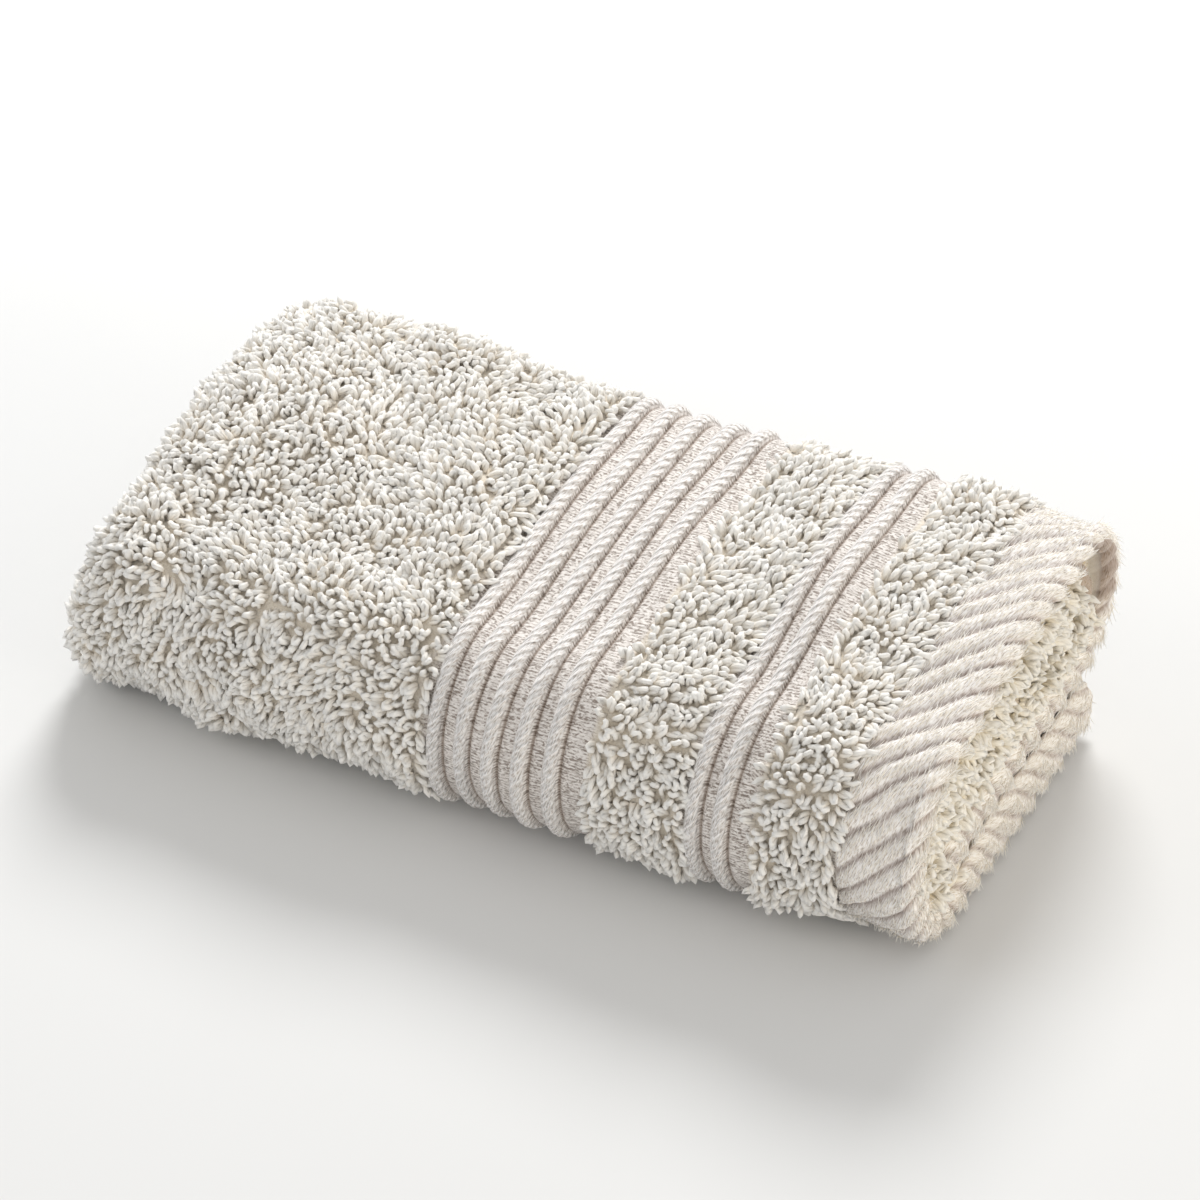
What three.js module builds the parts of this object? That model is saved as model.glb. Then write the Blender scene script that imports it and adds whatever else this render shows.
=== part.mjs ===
import * as THREE from 'three';

// A guest towel of thick cotton terry, folded in half across its length and then turned over
// twice about its long axis into a flattened roll. Millimetres, +Z up. X runs along the roll,
// from the soft fold (-X) to the hems (+X). Y runs across it, with the wide outer fold at -Y.
// The origin is the middle of the roll's footprint, on the surface that it rests on.

// The cloth
const PLY_GAP = 0.8;            // air between the two plies of the doubled cloth
const PANEL_GAP = 0.9;          // air between one panel of the roll and the next
const SELVEDGE_ROUND = 5;       // how far in from its side edges the cloth thins to a round edge
const SELVEDGE_THIN = 0.45;     // its thickness at that edge, as a share of the full one

// The border woven into the outer ply, measured along X and down from the tips of the loops
const FLAT_DEPTH = 2.4;         // plain weave lies this far below the loops
const CORD_DEPTH = 0.7;         // the top of a raised cord
const CORD_WIDTH = 5.0;
const CORDS = [-8.25, -0.15, 8.05, 16.25, 24.4, 62.6, 70.2];
const BANDS = [                 // stretches of loops, from the soft fold to the hem
  { from: -122, to: -12.2 },
  { from: 33.6, to: 59.2 },
  { from: 78.6, to: 99.8 },
];
const BAND_SHOULDER = 1.6;      // the loops at the edge of a band lean out over this width

// The hem: a turned and ribbed strip at the +X end
const HEM_FROM = 101.2;
const HEM_DEPTH = 0.9;          // the top of its ribs, below the loops
const RIB_PITCH = 8.6;          // along the edge of the hem
const RIB_DEPTH = 1.3;
const RIB_SLANT = 1.0;          // how far a rib moves round the roll for each millimetre along it

// How the doubled cloth is wound. Each row is the start of a stretch: the inner panel's free edge,
// the back fold, the top panel, the front fold, the bottom panel and, last, its free edge.
// foldEnd and hemEnd are the X of the two ends of the cloth there, outer and inner are the
// thickness of the two plies in the loops, and hemOuter and hemInner that at the hem.
const WINDING = [
  { steps: 10, foldEnd: -114.0, hemEnd: 121.2, outer: 9.2, inner: 8.6, hemOuter: 11.6, hemInner: 10.2 },
  { steps: 8, foldEnd: -113.0, hemEnd: 121.2, outer: 9.2, inner: 7.4, hemOuter: 10.4, hemInner: 7.8 },
  { steps: 13, foldEnd: -117.5, hemEnd: 121.0, outer: 9.4, inner: 8.2, hemOuter: 9.8, hemInner: 11.4 },
  { steps: 13, foldEnd: -114.5, hemEnd: 120.4, outer: 9.4, inner: 8.8, hemOuter: 9.4, hemInner: 9.4 },
  { steps: 12, foldEnd: -119.5, hemEnd: 122.2, outer: 9.2, inner: 8.8, hemOuter: 10.6, hemInner: 6.6 },
  { steps: 0, foldEnd: -112.0, hemEnd: 122.6, outer: 9.2, inner: 8.8, hemOuter: 10.6, hemInner: 6.8 },
];
const UNEVEN_ENDS = 65;         // how far in from each end of the roll its unevenness reaches
const RIB_STEPS = 4;            // points across one rib, from groove to groove
const EDGE_STEP = 0.02;         // share of a stretch between a side edge and the next point in
const HEM_INSET = 2.6;          // the inner ply's hem lies this far inside the outer one's

// The roll's outer section at places along it: the Y of its front and back, its height over the
// front fold, over the middle and over the back fold, and the Y of the two free edges.
const SECTIONS = [
  { x: -122, front: -63, back: 63, shoulder: 50, crown: 57, rear: 54, innerEdge: -31, outerEdge: 44 },
  { x: -98, front: -65, back: 65.6, shoulder: 54, crown: 60, rear: 59, innerEdge: -33, outerEdge: 47 },
  { x: -55, front: -65.4, back: 66, shoulder: 55, crown: 60, rear: 58.5, innerEdge: -33, outerEdge: 49 },
  { x: 0, front: -65.6, back: 66, shoulder: 55, crown: 59, rear: 58, innerEdge: -33, outerEdge: 50 },
  { x: 35, front: -65.4, back: 66, shoulder: 56.5, crown: 61.5, rear: 60.5, innerEdge: -34, outerEdge: 50 },
  { x: 75, front: -64.3, back: 65.8, shoulder: 59.5, crown: 65.5, rear: 64.5, innerEdge: -37, outerEdge: 49 },
  { x: 122, front: -62.5, back: 65.8, shoulder: 61, crown: 67, rear: 66, innerEdge: -40, outerEdge: 47 },
];
const FOLD_SQUEEZE = 0.95;      // width of a fold's turn against its height
const INNER_RISE = 0.4;         // the inner panel arches by this share of the top panel's crown
const SINK = 0.7;               // the underside is pressed flat by this much
const FOOTPRINT_MIDDLE = { x: 1.48, y: 0.15 }; // of the tables above, which becomes the origin

// Soft unevenness of the outside: waves of these lengths (mm along and round the roll) and height
const WAVES = [
  { along: 71, round: 143, phase: 0.6, height: 0.75 },
  { along: -49, round: 88, phase: 2.1, height: 0.5 },
  { along: 33, round: -61, phase: 4.0, height: 0.35 },
];

// Stations round the roll: a whole number is the start of one of these stretches.
const [INNER_PANEL, BACK_FOLD, TOP_PANEL, FRONT_FOLD, BOTTOM_PANEL] = [0, 1, 2, 3, 4];
const LAST = WINDING.length - 1; // the outer free edge

const lerp = (from, to, share) => from + (to - from) * share;
const smooth = share => share * share * (3 - 2 * share);
const clamp01 = value => Math.min(1, Math.max(0, value));

// A column of the winding table at a station.
function wound(column, station) {
  const row = Math.min(Math.floor(station), LAST - 1);
  return lerp(WINDING[row][column], WINDING[row + 1][column], smooth(station - row));
}

// The roll's section at x, blended between the rows of the table.
function sectionAt(x) {
  let row = 0;
  while (row < SECTIONS.length - 2 && x > SECTIONS[row + 1].x) row += 1;
  const [before, after] = [SECTIONS[row], SECTIONS[row + 1]];
  const share = smooth(clamp01((x - before.x) / (after.x - before.x)));
  const columns = Object.keys(before);
  return Object.fromEntries(columns.map(column => [column, lerp(before[column], after[column], share)]));
}

// Thickness of the outer and inner ply, thicker or thinner as the loops give way to the hem.
function pliesAt(x, station) {
  const share = smooth(clamp01((x - BANDS[1].from) / (HEM_FROM - BANDS[1].from)));
  return {
    outer: lerp(wound('outer', station), wound('hemOuter', station), share),
    inner: lerp(wound('inner', station), wound('hemInner', station), share),
  };
}

// The line between the two plies, as (y, z), at x and a station round the roll.
function middleLine(x, station) {
  const section = sectionAt(x);
  const bottom = pliesAt(x, BOTTOM_PANEL);
  const inside = pliesAt(x, INNER_PANEL);
  const back = pliesAt(x, TOP_PANEL);
  const front = pliesAt(x, FRONT_FOLD);
  const lowZ = bottom.outer;
  const insideZ = bottom.outer + bottom.inner + PANEL_GAP + inside.outer;
  const rise = section.crown - lerp(section.rear, section.shoulder, 0.5);
  const rearZ = section.rear - back.outer;
  const shoulderZ = section.shoulder - front.outer;
  const backTurn = { y: FOLD_SQUEEZE * (rearZ - insideZ) / 2, z: (rearZ - insideZ) / 2 };
  const frontTurn = { y: FOLD_SQUEEZE * (shoulderZ - lowZ) / 2, z: (shoulderZ - lowZ) / 2 };
  const backY = section.back - pliesAt(x, BACK_FOLD + 0.5).outer - backTurn.y;
  const frontY = section.front + pliesAt(x, FRONT_FOLD + 0.5).outer + frontTurn.y;
  const stretch = Math.min(Math.floor(station), BOTTOM_PANEL);
  const share = station - stretch;
  const turn = Math.PI * share;
  switch (stretch) {
    case INNER_PANEL:
      return [
        lerp(section.innerEdge, backY, share),
        insideZ + INNER_RISE * rise * Math.sin(turn) ** 2,
      ];
    case BACK_FOLD:
      return [backY + backTurn.y * Math.sin(turn), (insideZ + rearZ) / 2 - backTurn.z * Math.cos(turn)];
    case TOP_PANEL:
      return [
        lerp(backY, frontY, share),
        lerp(rearZ, shoulderZ, smooth(share)) + rise * Math.sin(turn) ** 2,
      ];
    case FRONT_FOLD:
      return [frontY - frontTurn.y * Math.sin(turn), (shoulderZ + lowZ) / 2 + frontTurn.z * Math.cos(turn)];
    default:
      return [lerp(frontY, section.outerEdge, share), lowZ];
  }
}

// The direction out of the roll, square to the middle line.
function outward(x, station) {
  const [y0, z0] = middleLine(x, Math.max(0, station - EDGE_STEP));
  const [y1, z1] = middleLine(x, Math.min(LAST, station + EDGE_STEP));
  const length = Math.hypot(y1 - y0, z1 - z0);
  return [(z1 - z0) / length, -(y1 - y0) / length];
}

// Stations of a plain row: each stretch in its own number of steps, with one more at each edge.
const plainStations = [0, EDGE_STEP];
WINDING.forEach(({ steps }, row) => {
  for (let step = row ? 0 : 1; step < steps; step += 1) plainStations.push(row + step / steps);
});
plainStations.push(LAST - EDGE_STEP, LAST);

// Distance round the outside of the roll at the hem, as a table against the stations.
const FOLD_END = SECTIONS[0].x;
const HEM_END = SECTIONS.at(-1).x;
const HEM_MIDDLE = (HEM_FROM + HEM_END) / 2;
const TABLE_STEPS = 80;         // for each stretch
const roundTable = [0];
{
  const outside = station => {
    const [y, z] = middleLine(HEM_MIDDLE, station);
    const [ny, nz] = outward(HEM_MIDDLE, station);
    const { outer } = pliesAt(HEM_MIDDLE, station);
    return [y + ny * outer, z + nz * outer];
  };
  let last = outside(0);
  for (let step = 1; step <= LAST * TABLE_STEPS; step += 1) {
    const point = outside(step / TABLE_STEPS);
    roundTable.push(roundTable.at(-1) + Math.hypot(point[0] - last[0], point[1] - last[1]));
    last = point;
  }
}
const wholeRound = roundTable.at(-1);

function roundAt(station) {
  const step = Math.min(Math.floor(station * TABLE_STEPS), roundTable.length - 2);
  return lerp(roundTable[step], roundTable[step + 1], station * TABLE_STEPS - step);
}

function stationAt(distance) {
  let step = 0;
  while (step < roundTable.length - 2 && roundTable[step + 1] < distance) step += 1;
  const share = (distance - roundTable[step]) / (roundTable[step + 1] - roundTable[step]);
  return (step + share) / TABLE_STEPS;
}

// Stations that follow the hem's slanted ribs, so each rib has its crest and grooves on points.
function ribStations(along) {
  const step = RIB_PITCH / RIB_STEPS;
  const slant = RIB_SLANT * along;
  const clear = 0.3 * step;     // no point lies nearer than this to the one on a side edge
  const stations = [0];
  for (let at = step * Math.ceil((slant + clear) / step); at - slant < wholeRound - clear; at += step) {
    stations.push(stationAt(at - slant));
  }
  stations.push(LAST);
  return stations;
}

// How far the outer face lies below the tips of the loops at x, without the hem's ribs.
function borderDepth(x) {
  if (x >= HEM_FROM) return HEM_DEPTH;
  for (const { from, to } of BANDS) {
    const inside = Math.min(x - from, to - x);
    if (inside >= 0) return FLAT_DEPTH * (1 - smooth(clamp01(inside / BAND_SHOULDER)));
  }
  for (const cord of CORDS) {
    const off = Math.abs(x - cord) / (CORD_WIDTH / 2);
    if (off < 1) return lerp(CORD_DEPTH, FLAT_DEPTH, off ** 3);
  }
  return FLAT_DEPTH;
}

// Depth of the groove between the hem's slanted ribs.
function ribDepth(x, station) {
  const place = (roundAt(station) + RIB_SLANT * x) / RIB_PITCH;
  return RIB_DEPTH * (1 - Math.sqrt(Math.abs(Math.sin(Math.PI * place))));
}

// Soft unevenness, on the parts of the outside that show, and none where panels lie close: it
// grows round the back fold and fades where the front fold meets the surface below.
function unevenness(x, station) {
  const round = station / LAST * wholeRound;
  const fade = 0.3;
  const grown = smooth(clamp01(station - BACK_FOLD));
  const shown = grown * smooth(clamp01((BOTTOM_PANEL + fade - station) / (2 * fade)));
  let height = 0;
  for (const wave of WAVES) {
    const turns = x / wave.along + round / wave.round;
    height += wave.height * Math.sin(2 * Math.PI * turns + wave.phase);
  }
  return height * shown;
}

// The cloth thins towards its two side edges.
function sideThickness(station) {
  const fromEdge = Math.min(station, LAST - station) * wholeRound / LAST;
  return lerp(SELVEDGE_THIN, 1, Math.sqrt(clamp01(fromEdge / SELVEDGE_ROUND)));
}

// A point of the cloth: along is its place on the towel, between the two ends of the roll, and out
// its distance from the middle line. The ends of the roll are uneven, so along is moved a little.
function place(along, out, station) {
  const toFold = smooth(clamp01(1 - (along - FOLD_END) / UNEVEN_ENDS));
  const toHem = smooth(clamp01(1 - (HEM_END - along) / UNEVEN_ENDS));
  const x = along
    + toFold * (wound('foldEnd', station) - FOLD_END)
    + toHem * (wound('hemEnd', station) - HEM_END);
  const [y, z] = middleLine(along, station);
  const [ny, nz] = outward(along, station);
  return [x - FOOTPRINT_MIDDLE.x, y + ny * out - FOOTPRINT_MIDDLE.y, Math.max(0, z + nz * out - SINK)];
}

// Faces of the two plies as distances from the middle line.
function faces(along, station) {
  const { outer, inner } = pliesAt(along, station);
  const half = PLY_GAP / 2;
  const thin = sideThickness(station);
  const outerMiddle = (outer + half) / 2;
  const innerMiddle = -(inner + half) / 2;
  const outerHalf = (outer - half) / 2 * thin;
  const innerHalf = (inner - half) / 2 * thin;
  return { outerMiddle, innerMiddle, outerHalf, innerHalf };
}

// Rows of the doubled cloth's section, walked once round: each has its stations round the roll and
// gives its point at one of them.
const rows = [];
const addRow = at => rows.push({ at, stations: plainStations });
const addRibRow = (along, at) => {
  const stations = ribStations(along);
  rows.push({ at, stations, ribs: stations.map(station => roundAt(station) + RIB_SLANT * along) });
};

// Places of the rows along the towel, and the turns of the rows round its ends, in degrees.
const HEM_ROUND = 4;            // the turned edge of a hem curves over this length
const OUTER_HEM_TURNS = [148, 110, 75, 38];
const OUTER_HEM_ROWS = [117, 111.5, 106, HEM_FROM + 0.5];
const INNER_HEM_TURNS = [35, 90, 145];
const LAST_BAND_ROWS = [HEM_FROM - 0.6, 97.5, 88, 80.2, 78.0];
const MIDDLE_BAND_ROWS = [59.8, 57.6, 46, 35.4, 33.2];
const BODY_ROWS = [-12.0, -14.2, -20, -40, -62, -84, -100];
const CORD_ROWS = [0.98, 0.45, -0.45, -0.98]; // across a cord, as shares of half its width
const FOLD_TURNS = [0, 22, 45, 68, 90, 112, 135, 158, 180];
const FOLD_CENTRE = FOLD_END + (WINDING[0].outer + WINDING[0].inner) / 2;
const INNER_END = HEM_END - HEM_INSET;
const INNER_FACE_ROWS = [-60, 0, 50, 90, INNER_END - HEM_ROUND];

// 1. The outer face of the outer ply, from the hem back to the soft fold.
function outerFaceRows() {
  const places = [...LAST_BAND_ROWS];
  [...CORDS].reverse().forEach((cord, count) => {
    if (count === 2) places.push(...MIDDLE_BAND_ROWS);
    for (const share of CORD_ROWS) places.push(cord + share * CORD_WIDTH / 2);
  });
  places.push(...BODY_ROWS);
  for (const along of places) {
    addRow(station => {
      const { outerMiddle, outerHalf } = faces(along, station);
      const out = outerMiddle + outerHalf - borderDepth(along) + unevenness(along, station);
      return place(along, out, station);
    });
  }
}

// 2. Round the soft fold to the inner ply.
function softFoldRows() {
  for (const degrees of FOLD_TURNS) {
    const turn = THREE.MathUtils.degToRad(degrees);
    addRow(station => {
      const { outerMiddle, outerHalf, innerMiddle, innerHalf } = faces(FOLD_CENTRE, station);
      const top = outerMiddle + outerHalf + unevenness(FOLD_CENTRE, station);
      const low = innerMiddle - innerHalf;
      const along = FOLD_CENTRE - (FOLD_CENTRE - FOLD_END) * Math.sin(turn);
      return place(along, lerp(low, top, (1 + Math.cos(turn)) / 2), station);
    });
  }
}

// 3. The inner ply: its far face, round its hem, and its near face back into the soft fold.
function innerPlyRows() {
  for (const along of INNER_FACE_ROWS) {
    addRow(station => {
      const { innerMiddle, innerHalf } = faces(along, station);
      return place(along, innerMiddle - innerHalf, station);
    });
  }
  for (const degrees of INNER_HEM_TURNS) {
    const turn = THREE.MathUtils.degToRad(degrees);
    addRow(station => {
      const { innerMiddle, innerHalf } = faces(INNER_END, station);
      const along = INNER_END - HEM_ROUND * (1 - Math.sin(turn));
      return place(along, innerMiddle - innerHalf * Math.cos(turn), station);
    });
  }
  for (const along of [INNER_END - HEM_ROUND, 60, -20, FOLD_CENTRE]) {
    addRow(station => {
      const { innerMiddle, innerHalf } = faces(along, station);
      return place(along, innerMiddle + innerHalf, station);
    });
  }
}

// 4. The inside of the soft fold, and the outer ply's near face up to the hem.
function insideRows() {
  addRow(station => place(FOLD_CENTRE - PLY_GAP, 0, station));
  for (const along of [FOLD_CENTRE, -20, 60, HEM_FROM, HEM_END - HEM_ROUND - 1]) {
    addRow(station => {
      const { outerMiddle, outerHalf } = faces(along, station);
      return place(along, outerMiddle - outerHalf, station);
    });
  }
}

// 5. Round the end of the outer ply's hem and back over its ribs.
function hemRows() {
  for (const degrees of OUTER_HEM_TURNS) {
    const turn = THREE.MathUtils.degToRad(degrees);
    const slantAt = HEM_END - HEM_ROUND + HEM_ROUND * turn; // measured on over the turned edge
    addRibRow(slantAt, station => {
      const { outerMiddle, outerHalf } = faces(HEM_END, station);
      const groove = ribDepth(slantAt, station);
      const across = outerHalf - (HEM_DEPTH + groove) * (1 + Math.cos(turn)) / 2;
      const along = HEM_END - HEM_ROUND + (HEM_ROUND - groove) * Math.sin(turn);
      return place(along, outerMiddle + across * Math.cos(turn), station);
    });
  }
  for (const along of OUTER_HEM_ROWS) {
    addRibRow(along, station => {
      const { outerMiddle, outerHalf } = faces(along, station);
      const out = outerMiddle + outerHalf - HEM_DEPTH - ribDepth(along, station);
      return place(along, out, station);
    });
  }
}

// Join two rows with triangles, taking the next point of whichever row is behind. Two rows of
// ribs are joined along the ribs.
function joinRows(first, second, triangles) {
  const key = first.ribs && second.ribs ? 'ribs' : 'stations';
  const [orderI, orderJ] = [first[key], second[key]];
  let [i, j] = [0, 0];
  const [lastI, lastJ] = [orderI.length - 1, orderJ.length - 1];
  while (i < lastI || j < lastJ) {
    const nextI = i < lastI ? orderI[i + 1] + orderI[i] : Infinity;
    const nextJ = j < lastJ ? orderJ[j + 1] + orderJ[j] : Infinity;
    if (nextI <= nextJ) {
      triangles.push(first.start + i, second.start + j, first.start + i + 1);
      i += 1;
    } else {
      triangles.push(first.start + i, second.start + j, second.start + j + 1);
      j += 1;
    }
  }
}

function rolledCloth() {
  outerFaceRows();
  softFoldRows();
  innerPlyRows();
  insideRows();
  hemRows();

  const positions = [];
  for (const row of rows) {
    row.start = positions.length / 3;
    for (const station of row.stations) positions.push(...row.at(station));
  }

  const triangles = [];
  rows.forEach((row, index) => joinRows(row, rows[(index + 1) % rows.length], triangles));

  // close the two side edges of the cloth
  for (const station of [0, LAST]) {
    const edge = rows.map(({ start, stations }) => (station ? start + stations.length - 1 : start));
    const [ny, nz] = outward(0, station);
    const outline = edge.map(vertex => new THREE.Vector2(
      positions[3 * vertex], positions[3 * vertex + 1] * ny + positions[3 * vertex + 2] * nz));
    for (const [a, b, c] of THREE.ShapeUtils.triangulateShape(outline, [])) {
      triangles.push(...(station ? [edge[a], edge[b], edge[c]] : [edge[a], edge[c], edge[b]]));
    }
  }

  const geometry = new THREE.BufferGeometry();
  geometry.setAttribute('position', new THREE.Float32BufferAttribute(positions, 3));
  geometry.setIndex(triangles);
  return geometry;
}

const cotton = new THREE.MeshStandardMaterial({ color: '#dfdbd2', roughness: 0.95, metalness: 0 });

const towel = new THREE.Mesh(rolledCloth(), cotton);
towel.name = 'towel';

const group = new THREE.Group();
group.add(towel);

export default group;
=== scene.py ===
# %% [markdown]
# # A rolled guest towel
# A thick terry towel, folded in half across its length and turned over twice into a flattened
# roll. On the real thing one cloth carries everything: loops on both sides, cords and flat strips
# woven into its border, and a ribbed hem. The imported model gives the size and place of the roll.
# Here the same cloth is wound again with a finer mesh, the loops are put on it one by one, and
# the hem gets its loose fibres.

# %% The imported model
import math

import bpy
import numpy as np
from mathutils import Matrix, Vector, noise


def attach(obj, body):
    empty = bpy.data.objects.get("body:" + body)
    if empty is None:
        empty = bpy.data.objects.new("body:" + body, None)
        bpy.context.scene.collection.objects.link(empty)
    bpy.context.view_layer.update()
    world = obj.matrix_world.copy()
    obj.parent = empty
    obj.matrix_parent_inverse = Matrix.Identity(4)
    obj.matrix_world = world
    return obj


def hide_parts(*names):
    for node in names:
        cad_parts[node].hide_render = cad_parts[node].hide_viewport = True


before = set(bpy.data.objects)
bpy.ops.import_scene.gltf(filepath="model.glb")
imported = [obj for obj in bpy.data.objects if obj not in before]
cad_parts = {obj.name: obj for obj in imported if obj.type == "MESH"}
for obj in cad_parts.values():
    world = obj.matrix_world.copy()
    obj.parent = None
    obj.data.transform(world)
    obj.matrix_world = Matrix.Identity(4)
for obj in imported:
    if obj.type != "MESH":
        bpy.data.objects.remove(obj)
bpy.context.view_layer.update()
MM = 0.001  # the tables below are in millimetres, Blender in metres

# %% [markdown]
# ## How the cloth is wound
# A real towel is folded in half, so two plies lie back to back, and the doubled cloth is turned
# over twice. A cloth simulation could roll it up, but the result would be hard to steer. A
# section line swept along the roll is exact, so that is used: the line between the two plies
# runs through an inner panel, a back fold, a top panel, a front fold and a bottom panel. A place
# on it is a station: 0 is the inner free edge, each whole number starts the next stretch, and 5
# is the outer free edge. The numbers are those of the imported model.

# %% Tables of the winding
PLY_GAP = 0.8
PANEL_GAP = 0.9
FOLD_SQUEEZE = 0.95
INNER_RISE = 0.4
SINK = 0.7
FOOTPRINT_MIDDLE = (1.48, 0.15)
UNEVEN_ENDS = 65
SELVEDGE_ROUND = 6
SELVEDGE_THIN = 0.15
LAST = 5

WINDING = {
    "fold_end": (-114.0, -113.0, -117.5, -114.5, -119.5, -112.0),
    "hem_end": (121.2, 121.2, 121.0, 120.4, 122.2, 122.6),
    "outer": (9.2, 9.2, 9.4, 9.4, 9.2, 9.2),
    "inner": (8.6, 7.4, 8.2, 8.8, 8.8, 8.8),
    "hem_outer": (11.6, 10.4, 9.8, 9.4, 10.6, 10.6),
    "hem_inner": (10.2, 7.8, 11.4, 9.4, 6.6, 6.8),
}
SECTION_X = np.array((-122, -98, -55, 0, 35, 75, 122), float)
SECTIONS = {
    "front": (-63, -65, -65.4, -65.6, -65.4, -64.3, -62.5),
    "back": (63, 65.6, 66, 66, 66, 65.8, 65.8),
    "shoulder": (50, 54, 55, 55, 56.5, 59.5, 61),
    "crown": (57, 60, 60, 59, 61.5, 65.5, 67),
    "rear": (54, 59, 58.5, 58, 60.5, 64.5, 66),
    "inner_edge": (-31, -33, -33, -33, -34, -37, -40),
    "outer_edge": (44, 47, 49, 50, 50, 49, 47),
}
FOLD_END, HEM_END = SECTION_X[0], SECTION_X[-1]

# the border and hem of the outer ply
FLAT_DEPTH = 2.4
CORD_DEPTH = 0.3
CORDS = (-8.25, -0.15, 8.05, 16.25, 24.4, 62.6, 70.2)
BANDS = ((-122, -12.2), (33.6, 59.2), (78.6, 99.8))
HEM_FROM = 101.2
HEM_DEPTH = 0.9
HEM_ROUND = 4
HEM_INSET = 2.6
RIB_PITCH = 8.6
RIB_DEPTH = 1.7
RIB_SLANT = 1.0
WAVES = ((71, 143, 0.6, 0.75), (-49, 88, 2.1, 0.5), (33, -61, 4.0, 0.35))
print("cloth wound from", FOLD_END, "to", HEM_END, "mm, with", len(CORDS), "cords")


# %% The section line
def lerp(start, end, share):
    return start + (end - start) * share


def clamp(value):
    return np.clip(value, 0.0, 1.0)


def smooth(share):
    """0 below 0 and 1 above 1, with a soft rise between."""
    share = clamp(share)
    return share * share * (3 - 2 * share)


def within(station, first, last, rise, fall):
    """1 between two stations, with a soft rise after the first and a soft fall before the last."""
    return smooth((station - first) / rise) * smooth((last - station) / fall)


def wound(column, station):
    table = np.array(WINDING[column])
    row = np.clip(np.floor(station).astype(int), 0, LAST - 1)
    return lerp(table[row], table[row + 1], smooth(station - row))


def section_at(x):
    row = np.clip(np.searchsorted(SECTION_X, x) - 1, 0, len(SECTION_X) - 2)
    share = smooth((x - SECTION_X[row]) / (SECTION_X[row + 1] - SECTION_X[row]))
    columns = {name: np.array(values, float) for name, values in SECTIONS.items()}
    return {name: lerp(table[row], table[row + 1], share) for name, table in columns.items()}


def plies_at(x, station):
    """Thickness of the outer and of the inner ply."""
    station = np.asarray(station, float)
    share = smooth((x - BANDS[1][0]) / (HEM_FROM - BANDS[1][0]))
    outer = lerp(wound("outer", station), wound("hem_outer", station), share)
    inner = lerp(wound("inner", station), wound("hem_inner", station), share)
    return outer, inner


def middle_line(x, station):
    """Height and depth of the line between the plies, at x and a station round the roll."""
    section = section_at(x)
    bottom_outer, bottom_inner = plies_at(x, 4.0)
    inside_outer, _ = plies_at(x, 0.0)
    low = bottom_outer
    inside = bottom_outer + bottom_inner + PANEL_GAP + inside_outer
    rise = section["crown"] - lerp(section["rear"], section["shoulder"], 0.5)
    rear = section["rear"] - plies_at(x, 2.0)[0]
    shoulder = section["shoulder"] - plies_at(x, 3.0)[0]
    back_turn = (rear - inside) / 2
    front_turn = (shoulder - low) / 2
    back_y = section["back"] - plies_at(x, 1.5)[0] - FOLD_SQUEEZE * back_turn
    front_y = section["front"] + plies_at(x, 3.5)[0] + FOLD_SQUEEZE * front_turn

    stretch = np.clip(np.floor(station), 0, LAST - 1)
    share = station - stretch
    on_stretch = [stretch == number for number in range(LAST - 1)]
    sin, cos = np.sin(np.pi * share), np.cos(np.pi * share)
    y = np.select(
        on_stretch,
        [
            lerp(section["inner_edge"], back_y, share),
            back_y + FOLD_SQUEEZE * back_turn * sin,
            lerp(back_y, front_y, share),
            front_y - FOLD_SQUEEZE * front_turn * sin,
        ],
        lerp(front_y, section["outer_edge"], share),
    )
    z = np.select(
        on_stretch,
        [
            inside + INNER_RISE * rise * sin ** 2,
            (inside + rear) / 2 - back_turn * cos,
            lerp(rear, shoulder, smooth(share)) + rise * sin ** 2,
            (shoulder + low) / 2 + front_turn * cos,
        ],
        low + 0 * share,
    )
    return y, z


def outward(x, station):
    """The direction out of the roll, square to the section line."""
    near = 0.02
    y0, z0 = middle_line(x, np.maximum(0, station - near))
    y1, z1 = middle_line(x, np.minimum(LAST, station + near))
    length = np.hypot(y1 - y0, z1 - z0)
    return (z1 - z0) / length, -(y1 - y0) / length


def place(along, out, station):
    """A point of the cloth: along the roll, out from the section line, at a station."""
    to_fold = smooth(1 - (along - FOLD_END) / UNEVEN_ENDS)
    to_hem = smooth(1 - (HEM_END - along) / UNEVEN_ENDS)
    x = along + to_fold * (wound("fold_end", station) - FOLD_END)
    x = x + to_hem * (wound("hem_end", station) - HEM_END)
    y, z = middle_line(along, station)
    ny, nz = outward(along, station)
    x, y, z = np.broadcast_arrays(x, y + ny * out, z + nz * out)
    return np.stack((x - FOOTPRINT_MIDDLE[0], y - FOOTPRINT_MIDDLE[1], np.maximum(0, z - SINK)), -1)


# %% Distance round the roll
# measured on the outer face at the hem, so that the ribs and the weave keep their pitch
hem_middle = (HEM_FROM + HEM_END) / 2
table_stations = np.linspace(0, LAST, 401)
line_y, line_z = middle_line(hem_middle, table_stations)
away_y, away_z = outward(hem_middle, table_stations)
face_out = plies_at(hem_middle, table_stations)[0]
face_y, face_z = line_y + away_y * face_out, line_z + away_z * face_out
round_table = np.concatenate(([0], np.cumsum(np.hypot(np.diff(face_y), np.diff(face_z)))))
whole_round = round_table[-1]


def round_at(station):
    return np.interp(station, table_stations, round_table)


print("the cloth is wound over", round(whole_round), "mm")

# %% [markdown]
# ## The face of the cloth
# The plain weave, the cords and the hem are one surface at different heights. The loops are
# separate meshes further down, so under them this surface lies deeper, like the real ground
# weave. A displacement texture could make the relief, but a cord's strands and a hem's ribs
# follow the cloth, so their height is worked out here from the place on the cloth.

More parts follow.
